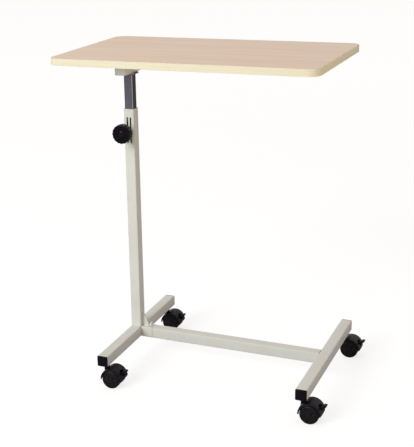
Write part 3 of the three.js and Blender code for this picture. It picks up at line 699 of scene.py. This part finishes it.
def build_end_cap(node, name, outward):
    """A moulded plug: a head with a pillowed face, and a skirt inside the tube."""
    low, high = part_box(node)
    width = high.x - low.x
    length = high.y - low.y
    # How far up the head, and how many millimetres in from its side.
    pillow = ((0, 0.0), (0.1, 0.0), (0.62, 0.0), (0.86, 0.5), (1.0, 1.5))
    shape = bmesh.new()
    loops = []
    for share, inset in pillow:
        points = rounded_rectangle(width - 2 * inset * MM, width - 2 * inset * MM, TUBE_CORNER)
        loops.append([shape.verts.new((x, y, share * CAP_HEAD)) for x, y in points])
    closed_ends(shape, loops)
    turn = ALONG_Y if outward > 0 else FACING_USER
    face_y = high.y if outward > 0 else low.y
    place = at(middle(node).x, face_y - outward * CAP_HEAD, middle(node).z) @ turn
    cap = piece_from(shape, name, place)
    skirt_width = width - 2 * TUBE_WALL - CAP_SKIRT_PLAY
    skirt_bore = skirt_width - 2 * CAP_SKIRT_WALL
    skirt = extruded(
        rounded_rectangle(skirt_width, skirt_width, 1 * MM), CAP_HEAD - length, 0.4 * MM,
        rounded_rectangle(skirt_bore, skirt_bore, 0.5 * MM),
    )
    combined(cap, "UNION", piece_from(skirt, "tool", place))
    soften(cap, width=0.3 * MM)
    finished(cap, "black_plastic", "base", node)


def build_crossbar():
    place = at(*middle("crossbar_bolt"))
    socket = tube("crossbar_socket", "bar_socket", ALONG_X)
    drilled(socket, BAR_BOLT_HOLE, place, reach=40 * MM, segments=24)
    soften(socket, width=0.35 * MM)
    finished(socket, "frame_paint", "base", "crossbar_socket")
    bar = soften(tube("crossbar_tube", "bar", ALONG_X), width=0.35 * MM)
    finished(bar, "frame_paint", "base", "crossbar_tube")
    build_cap_nut()
    build_bar_bolt()


def build_cap_nut():
    """A hexagon with a tall dome, bored to take the end of the bolt."""
    low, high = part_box("crossbar_cap_nut")
    across = extruded(hexagon((high.x - low.x) / 2), 0, NUT_HEX_HEIGHT)
    nut = with_modifiers_applied(soften(piece_from(across, "cap_nut"), width=0.5 * MM))
    foot = NUT_HEX_HEIGHT - 1 * MM
    dome = [(0, foot), (NUT_DOME_RADIUS, foot), (NUT_DOME_RADIUS, NUT_DOME_BASE)]
    dome += ellipse(0, NUT_DOME_BASE, NUT_DOME_RADIUS, NUT_DOME_RISE, range(10, 90, 10))
    dome.append((0, NUT_DOME_BASE + NUT_DOME_RISE))
    combined(nut, "UNION", piece_from(turned(dome, segments=48), "tool"))
    combined(nut, "DIFFERENCE", rod(NUT_BORE, -1 * MM, NUT_BORE_DEPTH))
    bolt = middle("crossbar_bolt")
    nut.location = (bolt.x, bolt.y, low.z)
    finished(nut, "chrome", "base", "crossbar_cap_nut")
    nut.data.materials[0] = finishes["bright_nickel"]


def build_bar_bolt():
    low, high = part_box("crossbar_bolt")
    head = extruded(hexagon(BAR_BOLT_HEAD_RADIUS), 0, BAR_BOLT_HEAD_HEIGHT)
    screw = with_modifiers_applied(soften(piece_from(head, "bar_bolt"), width=0.4 * MM))
    combined(screw, "UNION", rod(BAR_BOLT_RADIUS, BAR_BOLT_HEAD_HEIGHT / 2, high.z - low.z))
    bolt = middle("crossbar_bolt")
    screw.location = (bolt.x, bolt.y, low.z)
    finished(screw, "steel", "base", "crossbar_bolt")


def build_gusset():
    low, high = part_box("gusset_plate")
    width, height = high.x - low.x, high.z - low.z
    outline = [(0, 0), (width, 0), (width, GUSSET_NOSE), (GUSSET_NOSE, height), (0, height)]
    half = (high.y - low.y) / 2
    gusset = piece_from(extruded(outline, -half, half), "gusset", at(low.x, 0, low.z) @ FACING_USER)
    soften(gusset, width=0.4 * MM, segments=3)
    finished(gusset, "frame_paint", "base", "gusset_plate")


def add_weld(shape, start, end):
    """A rippled bead between two points, tapered at both ends."""
    start, end = Vector(start), Vector(end)
    length = (end - start).length
    across = (end - start).to_track_quat("Z", "Y").to_matrix()
    rings = max(12, round(length / WELD_RING_SPACING))
    loops = []
    for i in range(rings + 1):
        share = i / rings
        taper = math.sqrt(max(0.0, 1 - abs(2 * share - 1) ** WELD_BLUNTNESS))
        ripple = 1 + WELD_RIPPLE * math.sin(2 * math.pi * share * length / WELD_RIPPLE_PITCH)
        radius = WELD_RADIUS * (WELD_TIP + (1 - WELD_TIP) * taper) * ripple
        centre = start.lerp(end, share)
        loop = []
        for side in range(WELD_SIDES):
            angle = 2 * math.pi * side / WELD_SIDES
            offset = Vector((radius * math.cos(angle), radius * math.sin(angle), 0))
            loop.append(shape.verts.new(centre + across @ offset))
        loops.append(loop)
    closed_ends(shape, loops)


def build_welds():
    """The beads at both sides of the mast's foot, the bar's joints and the gusset."""
    shape = bmesh.new()
    mast_low, mast_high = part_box("outer_mast_tube")
    low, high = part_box("gusset_plate")
    for side in (-1, 1):
        y = side * (mast_high.y - WELD_SINK)
        foot = mast_low.z
        add_weld(shape, (mast_low.x + TUBE_CORNER, y, foot), (mast_high.x - TUBE_CORNER, y, foot))
        for node, end in (("crossbar_socket", 0), ("crossbar_tube", 1)):
            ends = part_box(node)
            x = ends[end].x
            add_weld(shape, (x, y, ends[0].z + TUBE_CORNER), (x, y, ends[1].z - TUBE_CORNER))
        y = side * high.y
        add_weld(shape, (low.x, y, low.z + WELD_END_GAP), (low.x, y, high.z - WELD_END_GAP))
        add_weld(shape, (low.x + WELD_END_GAP, y, low.z), (high.x - WELD_END_GAP, y, low.z))
    finished(piece_from(shape, "weld_beads"), "frame_paint", "base")


# ---- Mast and clamp -------------------------------------------------------------------


def build_mast():
    knob = middle("clamp_knob")
    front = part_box("outer_mast_tube")[0].y
    stud_hole = at(knob.x, front, knob.z) @ ALONG_Y

    mast = tube("outer_mast_tube", "mast", Matrix.Identity(4))
    # A little less than a half circle, so that no two of its corners meet.
    slot_end = SLOT_WIDTH / 2 - 0.01 * MM
    slot_outline = rounded_rectangle(SLOT_WIDTH, SLOT_LENGTH, slot_end)
    for side in (-1, 1):
        x = knob.x + side * SLOT_SPACING / 2
        cutter = upright_plate(slot_outline, thickness=6 * MM, x=x, y=front, z=knob.z)
        combined(mast, "DIFFERENCE", cutter)
    drilled(mast, STUD_HOLE, stud_hole, reach=4 * MM)
    soften(mast, width=0.3 * MM)
    finished(mast, "frame_paint", "base", "outer_mast_tube")

    bush = tube("mast_guide_bush", "guide_bush", Matrix.Identity(4), BUSH_CORNER, BUSH_WALL)
    drilled(bush, STUD_HOLE, stud_hole, reach=6 * MM)
    finished(soften(bush, width=0.2 * MM), "black_plastic", "base", "mast_guide_bush")

    build_clamp_nut()
    inner = tube("inner_mast_tube", "chrome_mast", Matrix.Identity(4), CHROME_CORNER)
    finished(soften(inner, width=0.3 * MM), "chrome", "tabletop_lift", "inner_mast_tube")


def build_clamp_nut():
    low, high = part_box("clamp_boss")
    depth = high.y - low.y
    radius = (high.x - low.x) / 2
    ring = [(CLAMP_BORE, 0), (radius, 0), (radius, depth - CLAMP_NUT_CHAMFER)]
    ring += [(radius - CLAMP_NUT_CHAMFER, depth)]
    ring += near(CLAMP_BORE, depth, (0.6, 0), (0, -0.6))
    knob = middle("clamp_knob")
    place = at(knob.x, high.y, knob.z) @ FACING_USER
    boss = piece_from(turned(ring, segments=48, closed=True), "clamp_nut", place)
    finished(soften(boss, width=0.3 * MM), "frame_paint", "base", "clamp_boss")


def build_knob():
    """Shallow grip lobes round the rim, and a ring of ribs round the centre cap."""
    low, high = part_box("clamp_knob")
    centre = middle("clamp_knob")
    radius = (high.x - low.x) / 2
    depth = high.y - low.y
    groove = depth - KNOB_GROOVE

    def relief(r, z, angle):
        if r > KNOB_LOBE_START:
            dip = KNOB_LOBE_DEPTH * (1 - math.cos(KNOB_LOBES * angle)) / 2
            r -= dip * (r - KNOB_LOBE_START) / (radius - KNOB_LOBE_START)
        if KNOB_RIB_START < r < KNOB_RIB_END and z > groove - 0.1 * MM:
            wave = max(0.0, math.cos(KNOB_RIBS * angle))
            z += (KNOB_GROOVE - KNOB_RIB_DROP) * min(1.0, KNOB_RIB_STEEPNESS * wave)
        return r, z

    rim_back = depth - KNOB_SKIRT
    profile = near(0, 0, (4.3, 0.4), (4.8, 0), (11.2, 0), (11.9, 0.7))
    profile += near(0, rim_back, (12, 0), (16, 0), (21.5, 0))
    profile += near(radius, rim_back, (-1.6, 0.4), (-0.4, 1.6), (0, 3.2), (0, 8))
    profile += near(radius, depth - KNOB_EDGE, (0, -4), (0, 0))
    profile += ellipse(radius - KNOB_EDGE, depth - KNOB_EDGE, KNOB_EDGE, KNOB_EDGE, SHOULDER_ANGLES)
    profile += near(radius - KNOB_EDGE, depth, (-0.4, 0))
    profile += near(0, depth, (20.6, 0), (20.1, -0.4))
    profile += near(0, groove, (19.8, 0), (18.9, 0), (18.2, 0), (14, 0), (13.4, 0), (12.6, 0))
    profile += near(0, depth, (12.2, -0.4), (11.8, 0), (9.9, 0), (9.55, -0.4), (9.5, -4), (4.3, -4))
    knob = piece_from(turned(profile, segments=180, closed=True, relief=relief), "knob", FACING_USER)
    knob.location = (centre.x, high.y, centre.z)
    finished(knob, "black_plastic", "clamp_knob_turn", "clamp_knob")

    low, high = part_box("clamp_knob_cap")
    radius = (high.x - low.x) / 2
    depth = high.y - low.y
    dome = [(0, 0), (radius, 0)]
    dome += near(radius, depth, (0, -1.6), (-0.25, -1.1), (-0.9, -0.8))
    dome += near(0, depth, (7.4, -0.5), (4, -0.12), (0, 0))
    cap = piece_from(turned(dome, segments=64), "knob_cap", FACING_USER)
    cap.location = (centre.x, high.y, centre.z)
    finished(cap, "black_plastic", "clamp_knob_turn", "clamp_knob_cap")


# ---- Head and board -------------------------------------------------------------------


def build_head():
    low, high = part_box("mast_head_plate")
    outline = rounded_rectangle(high.x - low.x, high.y - low.y, PLATE_CORNER)
    half = (high.z - low.z) / 2
    head = piece_from(extruded(outline, -half, half), "head_plate", at(*middle("mast_head_plate")))
    finished(soften(head, width=0.5 * MM), "chrome", "tabletop_lift", "mast_head_plate")

    low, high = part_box("head_carrier")
    width, length, height = high - low
    place = at(middle("head_carrier").x, 0, low.z)
    outline = rounded_rectangle(width, length, CARRIER_CORNER)
    tray = piece_from(extruded(outline, 0, height), "carrier", place)
    pocket = rounded_rectangle(
        width - 2 * CARRIER_WALL, length - 2 * CARRIER_WALL, CARRIER_POCKET_CORNER,
    )
    pocket_shape = extruded(pocket, CARRIER_WALL, height + CARRIER_WALL)
    combined(tray, "DIFFERENCE", piece_from(pocket_shape, "tool", place))
    finished(soften(tray, width=0.6 * MM, segments=3), "frame_paint", "tabletop_lift", "head_carrier")

    for side in ("front", "back"):
        node = f"{side}_rail"
        rail = tube(node, f"{side}_board_rail", ALONG_X, RAIL_CORNER)
        for i in (1, 2):
            screw = f"{side}_rail_screw_{i}"
            drilled(rail, SCREW_HOLE, at(*middle(screw)), reach=20 * MM, segments=24)
            build_screw(screw, f"{side}_board_screw_{i}")
        finished(soften(rail, width=0.3 * MM), "frame_paint", "tabletop_lift", node)


def build_screw(node, name):
    """A pan-headed wood screw, its point up, with a cross in its head."""
    low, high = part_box(node)
    length = high.z - low.z
    profile = near(0, 0, (0, 0), (2.4, 0), (3.4, 0.35), (4.1, 1.1), (4.4, 1.9), (4.4, 2.2))
    profile.append((SCREW_CORE, 2.2 * MM))
    for i in range(int((length - 2 * SCREW_THREAD_START) / SCREW_PITCH)):
        root = SCREW_THREAD_START + i * SCREW_PITCH
        profile += [(SCREW_CORE, root), (SCREW_CREST, root + 0.5 * SCREW_PITCH)]
    profile += [(1.4 * MM, length - 2.6 * MM), (0, length)]
    screw = piece_from(turned(profile, segments=24), name)
    for angle in (0, 90):
        outline = rounded_rectangle(*SCREW_CROSS, radius=0.2 * MM, steps=2)
        arm = extruded(outline, -1 * MM, SCREW_CROSS_DEPTH)
        turn = Matrix.Rotation(math.radians(angle), 4, "Z")
        combined(screw, "DIFFERENCE", piece_from(arm, "tool", turn))
    screw.location = (middle(node).x, middle(node).y, low.z)
    finished(screw, "steel", "tabletop_lift", node)


def build_board():
    low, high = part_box("tabletop_board")
    outline = rounded_rectangle(high.x - low.x, high.y - low.y, BOARD_CORNER, steps=24)
    half = (high.z - low.z) / 2
    board = piece_from(extruded(outline, -half, half), "board", at(*middle("tabletop_board")))
    for side in ("front", "back"):
        for i in (1, 2):
            node = f"{side}_rail_screw_{i}"
            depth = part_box(node)[1].z - low.z + SCREW_HOLE_SPARE
            place = at(middle(node).x, middle(node).y, low.z)
            combined(board, "DIFFERENCE", rod(SCREW_HOLE, -5 * MM, depth, place, segments=24))
    finished(board, "beech_laminate", "tabletop_lift", "tabletop_board")
    board.data.materials.append(backing_paper())
    for face in board.data.polygons:
        if face.normal.z < -0.5 and face.center.z < low.z + 0.1 * MM:
            face.material_index = 1
    soften(board, width=0.35 * MM)

    low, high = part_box("edge_band")
    width, depth = high.x - low.x, high.y - low.y
    outer = rounded_rectangle(width, depth, BAND_CORNER, steps=24)
    inner = rounded_rectangle(
        width - 2 * BAND_WALL, depth - 2 * BAND_WALL, BAND_CORNER - BAND_WALL, steps=24,
    )
    band = piece_from(extruded(outer, -half, half, inner), "edging", at(*middle("edge_band")))
    finished(soften(band, width=0.7 * MM, segments=4), "cream_edging", "tabletop_lift", "edge_band")


# ---- Casters --------------------------------------------------------------------------


def hood_shell():
    """A crowned half ring round the axle, with rounded shoulders and short side lips."""
    side, lip = HOOD_HALF_WIDTH, HOOD_LIP
    shoulder_x = side - HOOD_SHOULDER
    shoulder_r = HOOD_RADIUS - HOOD_CROWN - HOOD_SHOULDER
    inside_x = side - HOOD_LIP_WALL
    inside_r = HOOD_RADIUS - HOOD_WALL
    section = [(-side, lip)]
    section += arc(-shoulder_x, shoulder_r, HOOD_SHOULDER, 180, 92, 6)
    for share in (-0.6, -0.3, 0, 0.3, 0.6):
        section.append((side * share, HOOD_RADIUS - HOOD_CROWN * share * share))
    section += arc(shoulder_x, shoulder_r, HOOD_SHOULDER, 88, 0, 6)
    section += [(side, lip), (inside_x, lip)]
    section += near(inside_x, inside_r, (0, -1.2), (-1.1, 0)) + [(0, inside_r)]
    section += near(-inside_x, inside_r, (1.1, 0), (0, -1.2)) + [(-inside_x, lip)]
    shape = bmesh.new()
    loops = []
    for angle in (math.pi * step / 48 for step in range(49)):
        corners = [(r * math.cos(angle), y, r * math.sin(angle)) for y, r in section]
        loops.append([shape.verts.new(corner) for corner in corners])
    closed_ends(shape, loops)
    return piece_from(shape, "hood", at(CASTER_TRAIL, 0, WHEEL_RADIUS))


def build_hood_mesh():
    """The hood with its inner web, stem boss and pedal lugs, and a window for the pedal."""
    axle = at(CASTER_TRAIL, 0, WHEEL_RADIUS)
    pedal_axis = at(PEDAL_PIVOT_X, 0, PEDAL_PIVOT_Z)
    reach = HOOD_RADIUS - HOOD_WALL / 2
    web_outline = arc(0, 0, reach, 70, 180, 24) + arc(0, 0, WEB_HUB_RADIUS, 180, 360, 16)
    web = upright_plate(web_outline, WEB_THICKNESS, x=CASTER_TRAIL, z=WHEEL_RADIUS)
    boss_profile = [(0, STEM_BOSS_LOW), (STEM_BOSS_RADIUS, STEM_BOSS_LOW)]
    boss_profile += near(STEM_BOSS_RADIUS, STEM_BOSS_TOP, (0, -1), (-0.9, 0)) + [(0, STEM_BOSS_TOP)]
    boss = piece_from(turned(boss_profile, segments=40), "tool")
    window_outline = rounded_rectangle(WINDOW_WIDTH, WINDOW_HEIGHT, WINDOW_CORNER, steps=5)
    window_middle = axle @ at(HOOD_RADIUS - 6 * MM, 0, WINDOW_RISE + WINDOW_HEIGHT / 2)
    outwards = Matrix.Rotation(math.radians(90), 4, "Z") @ FACING_USER
    window = piece_from(extruded(window_outline, -12 * MM, 12 * MM), "tool", window_middle @ outwards)
    pivot_x, pivot_z = PEDAL_PIVOT_X - CASTER_TRAIL, PEDAL_PIVOT_Z - WHEEL_RADIUS
    lug_outline = arc(0, 0, reach, 52, 70, 8)
    lug_outline += arc(pivot_x, pivot_z, PEDAL_BARREL_RADIUS, 180, 360, 16)
    lugs = [
        upright_plate(lug_outline, LUG_THICKNESS, x=CASTER_TRAIL, y=side * LUG_OFFSET, z=WHEEL_RADIUS)
        for side in (-1, 1)
    ]
    hood = combined(hood_shell(), "DIFFERENCE", window)
    combined(hood, "UNION", web, boss, *lugs)
    combined(
        hood, "DIFFERENCE",
        rod(STEM_HOLE, STEM_HOLE_LOW, 70 * MM),
        rod(WHEEL_BORE, -40 * MM, 40 * MM, axle @ ALONG_Y),
        rod(PEDAL_HOLE, -12 * MM, 12 * MM, pedal_axis @ ALONG_Y),
    )
    return hood


def wheel_shape():
    """A twin-caster wheel: a round-shouldered tread and a face with spokes between rim and hub."""
    radius, face, inner = WHEEL_RADIUS, WHEEL_FACE, WHEEL_INNER_SIDE
    dish = face - WHEEL_DISH

    def relief(r, y, angle):
        if WHEEL_SPOKE_START < r < WHEEL_SPOKE_END and y > dish - 0.1 * MM:
            wave = max(0.0, math.cos(WHEEL_SPOKES * angle))
            y += WHEEL_SPOKE_RISE * min(1.0, WHEEL_SPOKE_STEEPNESS * wave)
        return r, y

    bore_end = face - 3 * MM
    shoulder = face - 4.2 * MM
    profile = [(0, bore_end), (WHEEL_BORE, bore_end), (WHEEL_BORE, inner), (21 * MM, inner)]
    profile += near(radius, inner, (-1.2, 0), (-0.3, 0.4), (0, 1.4), (0, 6))
    profile.append((radius, shoulder))
    profile += ellipse(radius - 3 * MM, shoulder, 3 * MM, 3.6 * MM, SHOULDER_ANGLES)
    profile += near(radius, face, (-3.2, -0.4))
    profile += near(0, face, (20.6, -0.2), (19.0, -0.3), (18.5, -0.8))
    profile += near(0, dish, (18.2, 0), (17.7, 0), (14, 0), (9.4, 0), (9.0, 0))
    profile += near(0, face, (8.7, -0.5), (8.2, -0.05), (4, 0), (0, 0))
    return turned(profile, segments=144, relief=relief)


def build_pedal():
    """The brake pedal about its own pivot: a barrel on trunnions and a ridged foot plate."""
    barrel = arc(0, 0, PEDAL_BARREL_RADIUS, 54, 288, 24) + near(0, 0, (10, 1.2), (10, 6.6))
    pedal = upright_plate(barrel, PEDAL_BARREL_WIDTH)
    pedal.name = "pedal"
    tread = near(0, 0, (23, 11.5), (18, 12.9), (6.5, 5.8), (7.5, -0.1), (20, 7.1), (23, 9.3))
    foot_plate = with_modifiers_applied(soften(upright_plate(tread, PEDAL_WIDTH), width=0.6 * MM))
    trunnions = rod(PEDAL_TRUNNION_RADIUS, -PEDAL_WIDTH / 2, PEDAL_WIDTH / 2, ALONG_Y)
    combined(pedal, "UNION", foot_plate, trunnions)
    top, bottom = (Vector((x, 0, z - PEDAL_RIDGE_SINK)) for x, z in tread[1:3])
    ridge_end = PEDAL_WIDTH / 2 - PEDAL_RIDGE_END_GAP
    for share in (0.35, 0.55, 0.75):
        place = at(*bottom.lerp(top, share)) @ ALONG_Y
        combined(pedal, "UNION", rod(PEDAL_RIDGE_RADIUS, -ridge_end, ridge_end, place, segments=12))
    return pedal


def stem_shape(low, high):
    """A pin that is held in the hood below its collar, and in the foot above it."""
    profile = [(0, low)] + near(STEM_LOWER_RADIUS, low, (-0.4, 0), (0, 0.4))
    profile.append((STEM_LOWER_RADIUS, STEM_COLLAR))
    profile += near(STEM_UPPER_RADIUS, STEM_COLLAR, (-0.3, 0), (0, 0.3))
    profile += [(STEM_UPPER_RADIUS, high - 1.5 * MM), (STEM_TIP_RADIUS, high), (0, high)]
    return turned(profile, segments=40)


def socket_shape(low, high):
    """A bush pressed into the foot from below, with a flange that stops it."""
    shoulder = low + SOCKET_FLANGE_HEIGHT
    profile = near(SOCKET_BORE, low, (0, 0.3), (0.3, 0))
    profile += near(SOCKET_FLANGE_RADIUS, low, (-0.5, 0), (0, 0.5))
    profile += [(SOCKET_FLANGE_RADIUS, shoulder), (SOCKET_BODY_RADIUS, shoulder)]
    profile += [(SOCKET_BODY_RADIUS, high), (SOCKET_BORE, high)]
    return turned(profile, segments=48, closed=True)


def build_casters():
    swivel = Vector((0, 0, 0))
    pedal_pivot = Vector((PEDAL_PIVOT_X, 0, PEDAL_PIVOT_Z))
    axle = Vector((CASTER_TRAIL, 0, WHEEL_RADIUS))
    hood = soften(build_hood_mesh(), width=0.25 * MM)
    pedal = soften(build_pedal(), width=0.25 * MM)
    back_wheel = piece_from(wheel_shape(), "back_wheel", ALONG_Y)
    front_wheel = piece_from(wheel_shape(), "front_wheel", FACING_USER)
    # Each shared piece with its name, CAD node, body, material slot and origin.
    shared = (
        (hood, "hood", "hood", "caster", "caster_plastic", swivel),
        (pedal, "pedal", "brake_pedal", "pedal", "caster_plastic", pedal_pivot),
        (back_wheel, "back_wheel", "back_wheel", "back_wheel_body", "wheel_plastic", axle),
        (front_wheel, "front_wheel", "front_wheel", "front_wheel_body", "wheel_plastic", axle),
    )
    for corner in ("front_left", "front_right", "back_left", "back_right"):
        stem = middle(f"{corner}_stem")
        foot = Vector((stem.x, stem.y, 0))
        for source, part, node, body, slot, origin in shared:
            piece = source.copy()
            piece.name = f"{corner}_caster_{part}"
            bpy.context.scene.collection.objects.link(piece)
            piece.location = foot + origin
            finished(piece, slot, f"{corner}_{body}", f"{corner}_{node}")
        for node, kind, shape_of, slot, body in (
            (f"{corner}_stem", "pin", stem_shape, "steel", f"{corner}_caster"),
            (f"{corner}_stem_socket", "bush", socket_shape, "black_plastic", "base"),
        ):
            low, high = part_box(node)
            piece = piece_from(shape_of(low.z, high.z), f"{node}_{kind}")
            piece.location = foot
            finished(piece, slot, body, node)
    for source in (hood, pedal, back_wheel, front_wheel):
        bpy.data.objects.remove(source)


build_feet()
build_crossbar()
build_gusset()
build_welds()
build_mast()
build_knob()
build_head()
build_board()
build_casters()

# ---- The CAD nodes that stay: axles, spigot, glide, stud and pad --------------------------

for entry in frame["record"]["subparts"]:
    node = frame["nodes"][entry["node"]]
    if not node.hide_render:
        node.data.materials.clear()
        node.data.materials.append(finishes[entry["material_slot"]])

bpy.context.view_layer.update()
